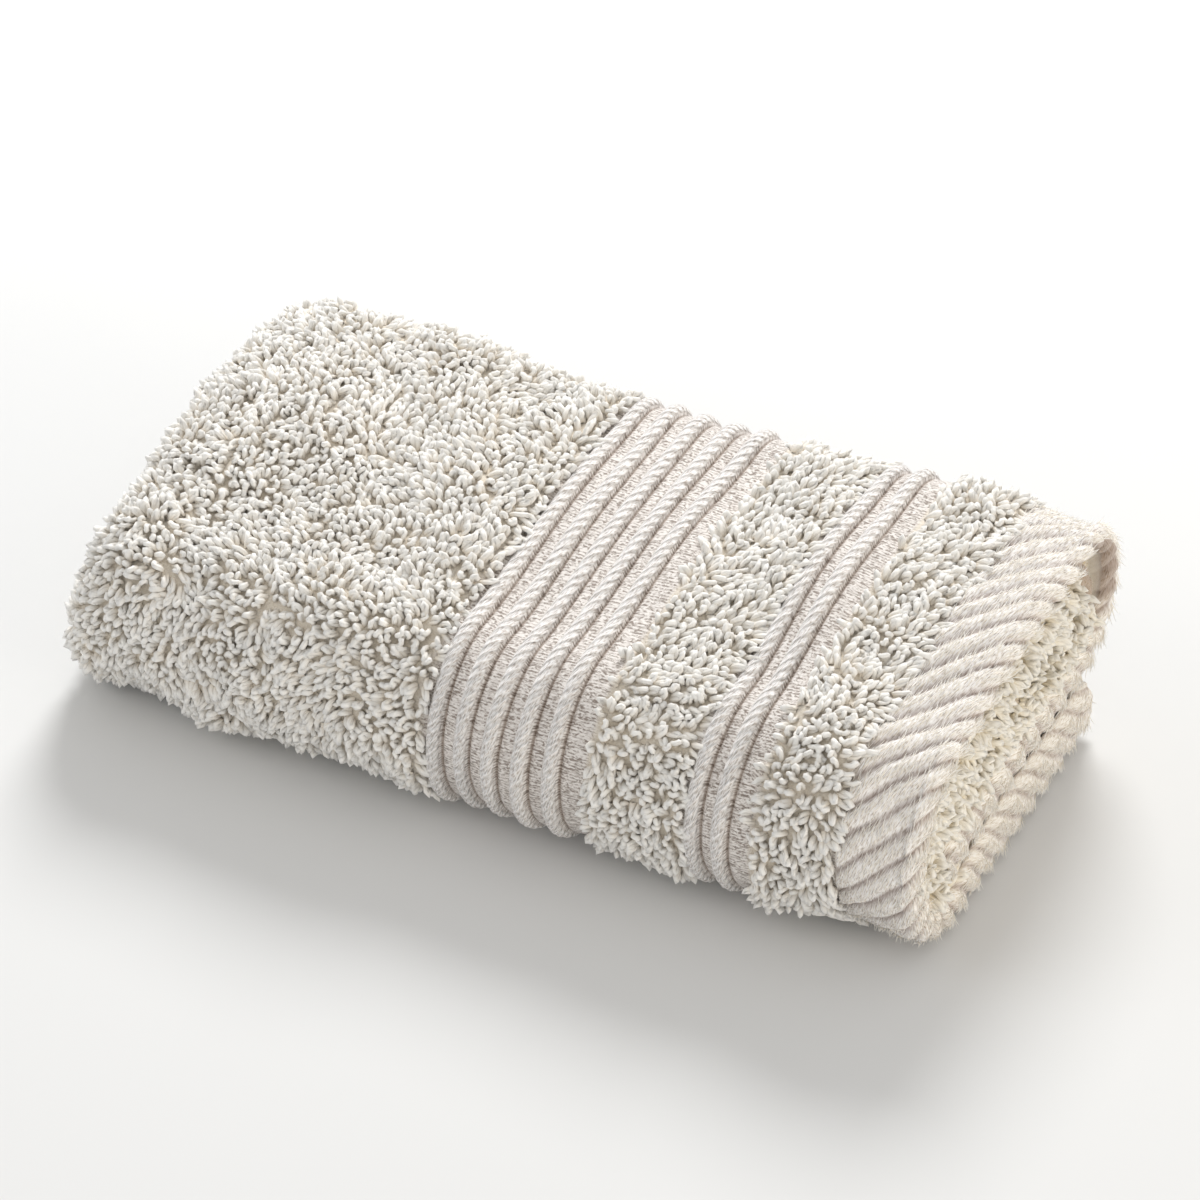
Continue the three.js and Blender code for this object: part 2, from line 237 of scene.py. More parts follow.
# %% Relief of the outer face
GROUND_DEPTH = 2.3  # ground weave below the tips of the loops
BAND_SHOULDER = 1.8
DENT = 1.35  # the pile is pressed unevenly
DENT_SIZE = 13
CORD_SHOWN = 4.1  # a cord's width where it stands out of the weave
SWELL_PITCH = 5.2  # along a cord, from one slanted swelling to the next; its strands are a pattern
SWELL_HEIGHT = 0.25
SWELL_SLANT = 1.3  # a swelling runs this far along the cord for each mm across it
SWELL_SHIFT = 0.37  # of a pitch, from one cord to the next
GROOVE_DEPTH = 0.6  # beside each cord, towards the hem
GROOVE_WIDTH = 0.8
WAVES_SHOWN = (1, 4.3, 1, 0.6)  # from and to a station, with the rise and the fall


def cloth_noise(along, around, size, seed):
    """Smooth noise over the cloth, from -1 to 1, with lumps of about the given size in mm."""
    along, around = np.broadcast_arrays(along, around)
    values = [
        noise.fractal((a / size, b / size, seed), 1.0, 2.0, 2)
        for a, b in zip(along.ravel(), around.ravel())
    ]
    return np.array(values).reshape(along.shape)


def dents(along, around):
    """How much deeper than elsewhere the pressed pile lies."""
    return DENT * cloth_noise(along, around, DENT_SIZE, 1.7)


def in_band(along):
    """1 in a band of loops, 0 on the plain weave, with a narrow slope between them."""
    share = np.zeros_like(along)
    for start, end in BANDS:
        share = np.maximum(share, clamp(np.minimum(along - start, end - along) / BAND_SHOULDER + 0.5))
    return smooth(share)


def cord_height(along, around):
    """Height of the cords over the plain weave, with slanted swellings and a groove beside each."""
    height = 0 * along * around
    for number, cord in enumerate(CORDS):
        off = (along - cord) / (CORD_SHOWN / 2)
        ridge = clamp(1 - off ** 2) ** 0.5
        turn = (around + SWELL_SLANT * (along - cord)) / SWELL_PITCH
        turn = turn + SWELL_SHIFT * number + 0.25 * cloth_noise(along, around, 7, 4.4)
        hollow = 1 - np.abs(np.sin(np.pi * turn)) ** 0.7
        height = height + ridge * (FLAT_DEPTH - CORD_DEPTH - SWELL_HEIGHT * hollow)
        groove = clamp(1 - np.abs(along - cord - CORD_SHOWN / 2 - GROOVE_WIDTH / 2) / GROOVE_WIDTH)
        height = height - GROOVE_DEPTH * smooth(groove)
    return height


def rib_crest(along, around):
    """1 on top of the hem's slanted ribs, 0 in the grooves between them."""
    warp = 0.1 * cloth_noise(along, around, 12, 3.1)
    turn = (around + RIB_SLANT * along) / RIB_PITCH + warp
    return np.abs(np.sin(np.pi * turn)) ** 0.85


def unevenness(along, station):
    """Soft waves on the parts of the outside that show."""
    around = station / LAST * whole_round
    height = 0
    for wave_along, wave_round, phase, size in WAVES:
        turns = along / wave_along + around / wave_round
        height = height + size * np.sin(2 * np.pi * turns + phase)
    return height * within(station, *WAVES_SHOWN)


def thinned(station):
    """The share of its thickness that the cloth has, which falls off at the selvedges."""
    from_edge = np.minimum(station, LAST - station) * whole_round / LAST
    return lerp(SELVEDGE_THIN, 1, np.sqrt(1 - (1 - clamp(from_edge / SELVEDGE_ROUND)) ** 2))


def faces(along, station):
    """Middles and half thicknesses of the two plies, as distances from the section line."""
    outer, inner = plies_at(along, station)
    half = PLY_GAP / 2
    thin = thinned(station)
    return (outer + half) / 2, (outer - half) / 2 * thin, -(inner + half) / 2, (inner - half) / 2 * thin


# %% [markdown]
# ## The woven ground as one mesh
# The doubled cloth is a flat tube: out over the outer ply, round the soft fold, back under the
# inner ply, round its hem and home between the plies. Walking once round it gives a row of
# points for every place, and every row has the same stations round the roll, so the rows join
# into one closed skin. The rows are close together where the border and hem need it.

# %% Places round the roll
# close together where the selvedges round off, and on the top panel and front fold, which show
STATIONS = np.concatenate((
    (0.0, 0.004, 0.012, 0.026, 0.045),
    np.linspace(0.07, 1, 50, endpoint=False),
    np.linspace(1, 2, 50, endpoint=False),
    np.linspace(2, 3, 104, endpoint=False),
    np.linspace(3, 4, 84, endpoint=False),
    np.linspace(4, 4.93, 62),
    (4.955, 4.974, 4.988, 4.996, 5.0),
))[None, :]
AROUND = round_at(STATIONS)
THIN = thinned(STATIONS)

# %% The two ends
FOLD_REACH = (WINDING["outer"][0] + WINDING["inner"][0]) / 2
FOLD_CENTRE = FOLD_END + FOLD_REACH
FOLD_MIDDLE = (FOLD_REACH + PLY_GAP / 2) / 2  # radius of the middle of the cloth in the soft fold
INNER_END = HEM_END - HEM_INSET
HEM_TURN_ROWS = 16
PUFF = 1.1  # the insides fill out where they show at the hem end
SEAM_PUFF = 1.9  # and close the seam over the bottom panel
HOLLOW_PUFF = 1.6  # and the front fold closes round its hollow
INNER_SWELL = 2.2  # the inner panel's hem stands out by this
PARTED = (1.15, 2.15, 0.3, 0.2)  # at the back fold the plies part: stations, rise and fall
PARTING = 3.0  # by this
PARTING_SHADE = 0.9  # painted shade: between the parted plies the crest value falls by this share, which darkens the cloth there and thins the loose fibres on it
IN_FRONT = (2.9, 3.9, 0.3, 0.3)
LEVEL_HEMS = smooth((STATIONS - 3.9) / 0.4)  # the bottom panel's two hems end level
INNER_PANEL = smooth(1.6 - STATIONS)  # 1 on the inner panel, falling to 0 in the back fold
parting = within(STATIONS, *PARTED)
# painted shade: the crest falls where the plies part at the back fold, which darkens the cloth there
parting_shade_factor = 1 - PARTING_SHADE * parting
INSIDE_PUFF = PUFF - PARTING * parting + HOLLOW_PUFF * within(STATIONS, *IN_FRONT)
END_DEPTH = lerp(HEM_DEPTH, -INNER_SWELL, INNER_PANEL)

# %% Rows along the roll
HEM_STEP = 0.95
BAND_STEP = 3.6
CORD_ROWS = np.array((-2.8, -2.14, -1.9, -1.2, -0.4, 0.4, 1.2, 1.9, 2.14, 2.55, 3.0, 3.5))
BAND_END_ROWS = (99.9, 98.6, 77.4, 76.3, 59.9, 58.9, 57.8, 32.0, -10.9)
LAST_ROW = -100  # the soft fold follows
hem_rows = np.arange(HEM_END - HEM_ROUND, HEM_FROM - 0.1, -HEM_STEP)
border_rows = [HEM_FROM - 0.5, *BAND_END_ROWS]
for start, end in BANDS[::-1]:
    border_rows += [*np.arange(end - 3, start + 2, -BAND_STEP), start + 1.2, start + 0.3, start - 0.7]
for cord in CORDS:
    border_rows += list(cord + CORD_ROWS)
border_rows = sorted((row for row in set(border_rows) if row > LAST_ROW), reverse=True)
outer_rows = np.concatenate((hem_rows, border_rows))


# %% The parts of the skin
def arc(first, last, steps):
    """Angles round an edge of the cloth, one for each row of points."""
    return np.radians(np.linspace(first, last, steps))[:, None]


def outer_face():
    """The outer ply's face, and where it is a band, hem, or the crest of a cord or rib."""
    along = outer_rows[:, None]
    middle, half, _, _ = faces(along, STATIONS)
    in_hem = along >= HEM_FROM - 0.05
    crest = rib_crest(along, AROUND)
    hem = END_DEPTH + RIB_DEPTH * (1 - crest) + 0.12 * cloth_noise(along, AROUND, 2.2, 8.8)
    raised = cord_height(along, AROUND)
    border = FLAT_DEPTH - raised + 0.1 * cloth_noise(along, AROUND, 2.5, 5.4)
    band = in_band(along)
    loops = GROUND_DEPTH + dents(along, AROUND)
    depth = np.where(in_hem, hem, lerp(border, loops, band))
    points = place(along, middle + half - depth * THIN + unevenness(along, STATIONS), STATIONS)
    cord_crest = clamp((raised + GROOVE_DEPTH) / (FLAT_DEPTH - CORD_DEPTH + GROOVE_DEPTH))
    crest = np.where(in_hem, crest, cord_crest)
    return points, band * ~in_hem, np.broadcast_to(in_hem, depth.shape), crest


def round_fold(turn, stations):
    """The soft fold's ground weave: its place along the roll, and out from the section line."""
    thin = thinned(stations)
    outer_middle, outer_half, inner_middle, inner_half = faces(FOLD_CENTRE, stations)
    top = outer_middle + outer_half + unevenness(FOLD_CENTRE, stations) - GROUND_DEPTH * thin
    low = inner_middle - inner_half + GROUND_DEPTH * thin
    reach = lerp(FOLD_MIDDLE, FOLD_REACH - GROUND_DEPTH, thin)
    return FOLD_CENTRE - reach * np.sin(turn), lerp(low, top, (1 + np.cos(turn)) / 2)


def soft_fold():
    turn = arc(0, 180, 15)
    along, out = round_fold(turn, STATIONS)
    return place(along, out - THIN * dents(along, AROUND) * np.cos(turn), STATIONS)


def inner_ply_far():
    """The side of the inner ply that is turned away from the outer one."""
    along = np.concatenate((np.arange(-98, 86, 22.0), np.arange(90, INNER_END - HEM_ROUND, 2.6)))[:, None]
    _, _, middle, half = faces(along, STATIONS)
    to_hem = smooth((along - 86) / 8)
    crest = rib_crest(along, AROUND)
    lump = to_hem * (0.4 * cloth_noise(along, AROUND, 5, 2.2) + RIB_DEPTH * (1 - crest) - INSIDE_PUFF)
    # painted shade between the parted plies
    crest = lerp(1.0, crest * parting_shade_factor, to_hem)
    return place(along, middle - half + (GROUND_DEPTH * (1 - to_hem) + lump) * THIN, STATIONS), crest


def inner_hem():
    turn = arc(10, 170, 13)
    end = INNER_END - 1.5 * LEVEL_HEMS
    slanted = end - HEM_ROUND + HEM_ROUND * (np.pi - turn)
    _, _, middle, half = faces(INNER_END, STATIONS)
    crest = rib_crest(slanted, AROUND)
    ruffle = lerp(0.9, 0.3, LEVEL_HEMS) * cloth_noise(turn * 7, AROUND, 5.5, 6.1)
    lump = ruffle - lerp(0.8, 1.3, LEVEL_HEMS) * (1 - crest)
    along = end - HEM_ROUND + (HEM_ROUND + lump) * np.sin(turn)
    out = middle - (half + (INSIDE_PUFF + 0.4 * lump) * THIN) * np.cos(turn)
    # painted shade between the parted plies
    return place(along, out, STATIONS), crest * parting_shade_factor


def between_plies():
    """The two faces that lie back to back, and the turn from one to the other in the soft fold."""
    near = np.array((INNER_END - HEM_ROUND - 2, 60, -20, FOLD_CENTRE))[:, None]
    _, _, middle, half = faces(near, STATIONS)
    inner_near = place(near, middle + half, STATIONS)
    turn = arc(150, 30, 5)
    inner_radius = lerp(FOLD_MIDDLE, PLY_GAP / 2, THIN)
    turn = place(FOLD_CENTRE - inner_radius * np.sin(turn), inner_radius * np.cos(turn), STATIONS)
    back = np.array((FOLD_CENTRE, -20, 60, HEM_END - HEM_ROUND - 2))[:, None]
    middle, half, _, _ = faces(back, STATIONS)
    return np.concatenate((inner_near, turn, place(back, middle - half, STATIONS)))


def outer_hem():
    """The turned edge of the outer ply; under the bottom panel it takes in the inner ply's too."""
    turn = arc(168, 7, HEM_TURN_ROWS)
    outer_middle, outer_half, inner_middle, inner_half = faces(HEM_END, STATIONS)
    top = outer_middle + outer_half - END_DEPTH * THIN
    low = lerp(
        outer_middle - outer_half - INSIDE_PUFF * THIN, inner_middle - inner_half - SEAM_PUFF * THIN,
        LEVEL_HEMS)
    slanted = HEM_END - HEM_ROUND + lerp(HEM_ROUND, (top - low) / 2, LEVEL_HEMS) * turn
    crest = rib_crest(slanted, AROUND)
    groove = RIB_DEPTH * (1 - crest) + 0.15 * cloth_noise(slanted, AROUND, 2.2, 8.8)
    squareness = lerp(1.0, 0.55, np.maximum(LEVEL_HEMS, INNER_PANEL))
    bulge = np.sin(turn) ** squareness
    free_side = np.where(turn < np.pi / 2, 1 - INNER_PANEL, 1 - LEVEL_HEMS)
    across = np.cos(turn) * (1 - free_side * groove / (top - low) * 2)
    along = HEM_END - HEM_ROUND + (HEM_ROUND - groove) * bulge
    # painted shade: on the inner side of the turned edge the crest falls between the parted plies
    crest = crest * (1 - PARTING_SHADE * parting * (turn > np.pi / 2))
    return place(along, lerp(low, top, (1 + across) / 2), STATIONS), slanted, crest


outer_points, outer_band, outer_is_hem, outer_crest = outer_face()
fold_points = soft_fold()
far_points, far_crest = inner_ply_far()
inner_hem_points, inner_hem_crest = inner_hem()
between_points = between_plies()
outer_hem_points, outer_hem_along, outer_hem_crest = outer_hem()
print("outer face:", outer_points.shape[0], "rows of", outer_points.shape[1], "points")


# %% [markdown]
# ## From points to a mesh
# Each grid of points becomes quads. The cloth's UV map is its place on the unrolled towel in
# metres, so weave and fibres run with the threads wherever the cloth turns. Attributes say how
# far a point belongs to the hem, to the plain weave and to the insides at the end.

# %% Grid helpers
def grid_faces(rows, columns, closed_rows=False):
    """Quads of a grid of points; a closed grid joins its last row to its first."""
    i = np.arange(rows if closed_rows else rows - 1)[:, None]
    j = np.arange(columns - 1)[None, :]
    after = (i + 1) % rows
    corners = (i * columns + j, after * columns + j, after * columns + j + 1, i * columns + j + 1)
    return np.stack(np.broadcast_arrays(*corners), -1).reshape(-1, 4)


def mesh_object(name, points, polygons, uv=None, attributes=None, link=True):
    """A mesh object at the origin, from points in millimetres."""
    mesh = bpy.data.meshes.new(name)
    mesh.from_pydata((np.asarray(points).reshape(-1, 3) * MM).tolist(), [], [list(p) for p in polygons])
    for key, values in (attributes or {}).items():
        values = np.ascontiguousarray(values, dtype=np.float32)
        vector = values.ndim > 1 and values.shape[-1] == 3
        layer = mesh.attributes.new(key, "FLOAT_VECTOR" if vector else "FLOAT", "POINT")
        layer.data.foreach_set("vector" if vector else "value", values.ravel())
    if uv is not None:
        corner_vertex = np.empty(len(mesh.loops), np.int32)
        mesh.loops.foreach_get("vertex_index", corner_vertex)
        layer = mesh.uv_layers.new(name="cloth")
        layer.data.foreach_set("uv", (np.asarray(uv).reshape(-1, 2)[corner_vertex] * MM).ravel())
    mesh.shade_smooth()
    made = bpy.data.objects.new(name, mesh)
    if link:
        bpy.context.scene.collection.objects.link(made)
    return made


# %% The ground mesh
outer_along = outer_rows[:, None]
inside_share = 1 - 0.55 * LEVEL_HEMS
plain = 1 - np.maximum(outer_band, outer_is_hem)
inner_hem_along = INNER_END - HEM_ROUND + HEM_ROUND * arc(170, 10, 13)
turned_in = 0.6 * np.linspace(1, 0, HEM_TURN_ROWS)[:, None]
# for each part: its points, place along the cloth, and its shares of hem, plain weave and
# inside, and how near it is to the crest of a rib or cord; the inside share paints the warm
# bounce light of the roll's insides, and a low crest paints shade
parts = [
    (outer_points, outer_along, outer_is_hem * 1.0, plain, 0.0, outer_crest),
    (fold_points, FOLD_END, 0.0, 0.0, 0.0, 0.5),
    (far_points, np.linspace(-98, 112, len(far_points))[:, None], 0.0, 0.0, inside_share, far_crest),
    (inner_hem_points, inner_hem_along, 0.0, 0.0, inside_share, inner_hem_crest),
    (between_points, 0.0, 0.0, 0.0, 1.0, 0.85),
    (outer_hem_points, outer_hem_along, 1.0, 0.0, turned_in, outer_hem_crest),
]
skin = np.concatenate([part[0] for part in parts])
columns = skin.shape[1]


def stacked(index):
    return np.concatenate([np.broadcast_to(part[index], part[0].shape[:2]) for part in parts])


skin_uv = np.stack((stacked(1), np.broadcast_to(AROUND, skin.shape[:2])), -1)
quads = grid_faces(len(skin), columns, closed_rows=True)
first_edge = np.arange(len(skin)) * columns
caps = [list(first_edge), list(first_edge[::-1] + columns - 1)]
share_names = ("hem", "flat", "inside", "crest")
shares = {name: stacked(index).ravel() for index, name in enumerate(share_names, 2)}
ground = mesh_object("cloth", skin, list(quads) + caps, skin_uv, shares)
for cap in list(ground.data.polygons)[-len(caps):]:
    cap.use_smooth = False  # the skin's flat ends at the two selvedges
print("cloth:", len(ground.data.polygons), "faces")

# %% [markdown]
# ## Loops of the terry
# Each loop of the pile is a soft two-strand yarn that leaves the ground, turns over and comes
# back, with its legs wound round each other. Particle hair could stand for it, but hair has no
# loops and isn't kept in an exported mesh. So four loops are modelled with few faces, and
# Geometry Nodes set thousands of them on the ground.

# %% Four loop shapes
YARN_RADIUS = 0.74
LOOP_PATH = (  # across and up, in mm: the legs stand close and the top is round
    (-0.45, 0.0), (-0.6, 1.15), (-0.6, 1.9), (0.0, 2.5), (0.6, 1.9), (0.6, 1.15), (0.45, 0.0),
)
YARN_SIDES = 5
LOOP_FORMS = (  # how tall, how wide, twist in radians, bow in mm
    (1.0, 1.0, 1.8, 0.4), (0.9, 1.1, 2.6, -0.4), (1.1, 0.92, 1.2, 0.7), (1.0, 1.0, -2.0, 0.2),
)


def loop_shape(name, tall, wide, twist, bow):
    """An arch of yarn whose legs are wound round each other."""
    path = np.array(LOOP_PATH) * (wide, tall)
    heights = path[:, 1]
    tangents = np.gradient(path, axis=0)
    tangents /= np.linalg.norm(tangents, axis=1, keepdims=True)
    points, tips, outsides, uv = [], [], [], []
    walked = 0
    for place_number, ((across, up), (run, rise)) in enumerate(zip(path, tangents)):
        if place_number:
            walked += np.linalg.norm(path[place_number] - path[place_number - 1])
        share = up / heights.max()
        turn = twist * share
        for side in range(YARN_SIDES):
            angle = 2 * np.pi * side / YARN_SIDES
            x = across - YARN_RADIUS * rise * np.cos(angle)
            y = YARN_RADIUS * np.sin(angle)
            z = up + YARN_RADIUS * run * np.cos(angle)
            turned_x = x * np.cos(turn) - y * np.sin(turn)
            turned_y = x * np.sin(turn) + y * np.cos(turn)
            points.append((turned_x + bow * share ** 2, turned_y, z))
            tips.append(share)
            # 1 on the outer side of the arch and 0 on its inner side, where the material paints shade
            outsides.append((1 + np.cos(angle)) / 2)
            uv.append((walked, side * 1.1))
    polygons = []
    for ring in range(0, YARN_SIDES * (len(path) - 1), YARN_SIDES):
        for side in range(YARN_SIDES):
            after = (side + 1) % YARN_SIDES
            polygons.append((ring + side, ring + YARN_SIDES + side, ring + YARN_SIDES + after, ring + after))
    return mesh_object(name, points, polygons, uv, {"tip": tips, "outside": outsides}, link=False)


loop_shapes = bpy.data.collections.new("loop_shapes")
for number, form in enumerate(LOOP_FORMS):
    loop_shapes.objects.link(loop_shape(f"loop_{number}", *form))

# %% Loose fibres
# the brushed hem is covered with fibre ends
FIBRE_RINGS = ((0.0, 0.8), (0.4, 1.0), (0.75, 0.7))  # shares of the length and of the width
FIBRE_SIDES = 3
FIBRE_WIDTH = 0.22
FIBRE_BOWS = (0.5, -0.3, 0.8, 0.2)


def fibre_shape(name, length, width, bow):
    """A sliver of cotton, three-sided and pointed, that bends over."""
    points, tips, uv = [], [], []
    for share, size in FIBRE_RINGS:
        for side in range(FIBRE_SIDES):
            angle = 2 * np.pi * side / FIBRE_SIDES
            points.append((
                bow * share ** 2 + width / 2 * size * np.cos(angle), width / 2 * size * np.sin(angle),
                length * share))
            tips.append(share)
            uv.append((length * share, side))
    points.append((bow, 0, length))
    tips.append(1.0)
    uv.append((length, 0))
    edges = [(side, (side + 1) % FIBRE_SIDES) for side in range(FIBRE_SIDES)]
    point = len(points) - 1
    last_ring = point - FIBRE_SIDES
    polygons = [(last_ring + a, last_ring + b, point) for a, b in edges]
    for ring in range(0, last_ring, FIBRE_SIDES):
        polygons += [(ring + a, ring + b, ring + FIBRE_SIDES + b, ring + FIBRE_SIDES + a) for a, b in edges]
    return mesh_object(name, points, polygons, uv, {"tip": tips, "outside": [1.0] * len(points)}, link=False)


short_fibres = bpy.data.collections.new("short_fibres")
for number, bow in enumerate(FIBRE_BOWS):
    length = 2.1 + 0.3 * number
    short_fibres.objects.link(fibre_shape(f"short_{number}", length, FIBRE_WIDTH, bow))

# %% [markdown]
# ## Where the loops stand
# Loops grow on all of the towel but its cords, plain strips and hem. They are not upright: they
# hang on the steep front, are combed towards the hem in the two narrow bands, lean out over the
# plain strips at a band's edge, and swirl a little everywhere. Each place on the ground has a
# vector for that, which the nodes read later.

# %% Patches of ground for the loops
GRAVITY_LEAN = 0.3
HANGING = (-78, 3.05, 34, 1.1)  # loops hang down here: along, station, radius in mm, lean
EDGE_LEAN = 1.1
EDGE_WIDTH = 3.2
COMB_LEAN = (0.45, 0.3)  # towards the hem and towards the back, in the narrow bands
SWIRL_LEAN = 0.4
SWIRL_SIZE = 17


def ways(points):
    """Unit vectors over a grid of points: towards the hem and round the roll."""
    to_hem = np.gradient(points, axis=0)
    to_hem *= np.sign(to_hem[..., :1] + 1e-9)
    to_hem /= np.linalg.norm(to_hem, axis=-1, keepdims=True) + 1e-9
    round_way = np.gradient(points, axis=1)
    round_way /= np.linalg.norm(round_way, axis=-1, keepdims=True) + 1e-9
    return to_hem, round_way


def lean_field(points, along, around, stations, outer):
    """The way loops lean at each point of a grid, as a vector along the surface."""
    to_hem, round_way = ways(points)
    normal = np.cross(to_hem, round_way)
    normal /= np.linalg.norm(normal, axis=-1, keepdims=True) + 1e-9
    down = np.array((0.0, 0.0, -1.0))
    hang_along, hang_station, hang_radius, hang_lean = HANGING
    off = np.hypot(along - hang_along, (stations - hang_station) * whole_round / LAST)
    hanging = GRAVITY_LEAN + hang_lean * smooth(1 - off / hang_radius)
    lean = hanging[..., None] * (down - normal * (normal @ down)[..., None])
    swirl = np.stack([cloth_noise(along, around, SWIRL_SIZE, seed) for seed in (11.3, 27.9)], -1)
    lean = lean + SWIRL_LEAN * 2 * (swirl[..., :1] * to_hem + swirl[..., 1:] * round_way)
    if outer:
        edge = 0 * along * around
        for start, end in BANDS:
            edge = edge + clamp(1 - np.abs(along - end) / EDGE_WIDTH)
            edge = edge - clamp(1 - np.abs(along - start) / EDGE_WIDTH)
        lean = lean + EDGE_LEAN * edge[..., None] * to_hem
        in_narrow_bands = smooth((along - BANDS[1][0] + 2) / 4)
        lies_flat = smooth(np.abs(normal[..., 2]) * 2 - 0.7)
        combed = COMB_LEAN[0] * to_hem - COMB_LEAN[1] * round_way
        lean = lean + (in_narrow_bands * lies_flat)[..., None] * combed
    return lean


def patch_mesh(name, points, share, lean, flip=False):
    """A grid of ground with a share of loops or fibres, and their lean, at each of its points."""
    polygons = grid_faces(*points.shape[:2])
    if flip:
        polygons = polygons[:, ::-1]
    share = np.broadcast_to(share, points.shape[:2])
    attributes = {"pile": share.ravel(), "lean": lean.reshape(-1, 3)}
    return mesh_object(name, points, list(polygons), attributes=attributes)


def pile_patch(name, points, along, stations, share=1.0, outer=False):
    around = round_at(stations)
    lean = lean_field(points, along + 0 * around, around + 0 * along, stations, outer)
    return patch_mesh(name, points, share, lean, flip=outer)


PATCH_STEP = 2.6
BESIDE_BANDS = (-12.0, 33.4, 59.4, 78.4, 100.0)  # just past the bands' ends
LOOPS_FROM = 0.35  # loops stand where a place is in a band by more than this
band_rows = [FOLD_CENTRE, *BESIDE_BANDS]
for start, end in BANDS:
    steps = 2 + round((end - start) / PATCH_STEP)
    band_rows += [row for row in np.linspace(start, end, steps) if row > FOLD_CENTRE]
band_rows = np.array(sorted(band_rows))[:, None]


def outer_patch(name, first, last, steps):
    stations = np.linspace(first, last, steps)[None, :]
    around = round_at(stations)
    middle, half, _, _ = faces(band_rows, stations)
    depth = (GROUND_DEPTH + dents(band_rows, around)) * thinned(stations)
    out = middle + half - depth + unevenness(band_rows, stations)
    share = (in_band(band_rows) > LOOPS_FROM) * 1.0
    return pile_patch(name, place(band_rows, out, stations), band_rows, stations, share, outer=True)


patches = [
    outer_patch("ground_back", 1.0, 2.0, 26),
    outer_patch("ground_top", 2.0, 3.0, 46),
    outer_patch("ground_front", 3.0, 4.0, 38),
    outer_patch("ground_under", 4.0, 5.0, 36),
]

# %% Patches at the soft fold and the free edge
NOISE_ROUND_FOLD = 12  # the swirls run on by this from the outer ply to the inner one
fold_stations = np.linspace(0, LAST, 130)[None, :]
fold_turn = arc(0, 180, 13)
fold_along, fold_out = round_fold(fold_turn, fold_stations)
patches.append(pile_patch(
    "ground_end", place(fold_along, fold_out, fold_stations),
    fold_along - NOISE_ROUND_FOLD * (fold_turn / np.pi), fold_stations))

# the free edge of the bottom panel shows the loops on the outside of the inner ply and, between
# the two rounded edges, those on the upper side of the outer ply
LEDGES = (("ground_ledge", 4.84, True), ("ground_edge", 4.94, False))  # from a station; on the inner ply
ledge_rows = np.arange(-102, 114, 4.0)[:, None]
for name, first, on_inner in LEDGES:
    ledge_stations = np.linspace(first, LAST, 12)[None, :]
    lower_middle, lower_half, upper_middle, upper_half = faces(ledge_rows, ledge_stations)
    if on_inner:
        ledge_out = upper_middle - upper_half + GROUND_DEPTH * thinned(ledge_stations)
    else:
        ledge_out = lower_middle - lower_half
    ledge_points = place(ledge_rows, ledge_out, ledge_stations)
    patches.append(pile_patch(name, ledge_points, ledge_rows, ledge_stations))

# %% Patches for the hem's fibres and for the cream loops inside
STROKE_LEAN = (1.1, -4.0)  # fibres lie this way: towards the hem and round the roll
SHOWN_HEM = (1.3, 4.4)  # the stations where the hem's face shows
HIDDEN_ROWS = 4  # of the turned edge, on its way in
INSIDE_ROWS = 7  # of the inner ply's far side, next to its hem
INSIDE_LEAN = (0.5, 0.0, 0.0)


def on_ribs(crest):
    return clamp(crest * 1.6 - 0.5)


brushed_points = np.concatenate((outer_hem_points[HIDDEN_ROWS:], outer_points))
brushed_share = np.concatenate((on_ribs(outer_hem_crest[HIDDEN_ROWS:]), outer_is_hem * on_ribs(outer_crest)))
on_turned_edge = np.arange(len(brushed_points))[:, None] < HEM_TURN_ROWS - HIDDEN_ROWS
shown = (STATIONS > SHOWN_HEM[0]) & (STATIONS < SHOWN_HEM[1]) | on_turned_edge
to_hem, round_way = ways(brushed_points)
stroked = STROKE_LEAN[0] * to_hem + STROKE_LEAN[1] * round_way
brushed_patch = patch_mesh("ground_brushed", brushed_points, brushed_share * shown, stroked)

inside_points = np.concatenate((far_points[-INSIDE_ROWS:], inner_hem_points))
outwards = np.zeros_like(inside_points) + INSIDE_LEAN
curl_share = (1 - smooth(STATIONS - 3.2)) * (1 - parting)
inside_patch = patch_mesh("ground_inside", inside_points, curl_share, outwards)
all_patches = [*patches, brushed_patch, inside_patch]
print("patches:", {patch.name: len(patch.data.polygons) for patch in all_patches})


# %% [markdown]
# ## Nodes that plant the loops
# Points are scattered over a patch no closer than the loops' spacing. Each takes one of the four
# shapes, turned to the surface's normal and tilted by the lean there, with a swirl and a random
# share of its own. The planted loops are then bent further at their tips, so that neighbours
# close up into clumps, and what would pass the table under the roll is pressed flat on it.

# %% A helper that adds a node
def add(tree, kind, inputs=None, **settings):
    """Add a node, set its options, and give its sockets values or links.

    A node given as a value stands for its first output.
    """
    node = tree.nodes.new(kind)
    for name, value in settings.items():
        setattr(node, name, value)
    for key, value in (inputs or {}).items():
        if isinstance(value, bpy.types.Node):
            value = value.outputs[0]
        if isinstance(value, bpy.types.NodeSocket):
            tree.links.new(value, node.inputs[key])
        else:
            node.inputs[key].default_value = value
    return node


def new_tree(name, inputs):
    """A Geometry Nodes tree with a geometry input and named inputs: name -> (socket type, value)."""
    tree = bpy.data.node_groups.new(name, "GeometryNodeTree")
    tree.interface.new_socket("Geometry", in_out="INPUT", socket_type="NodeSocketGeometry")
    tree.interface.new_socket("Geometry", in_out="OUTPUT", socket_type="NodeSocketGeometry")
    for label, (kind, value) in inputs.items():
        socket = tree.interface.new_socket(label, in_out="INPUT", socket_type=kind)
        if value is not None:
            socket.default_value = value
    return tree, tree.nodes.new("NodeGroupInput"), tree.nodes.new("NodeGroupOutput")


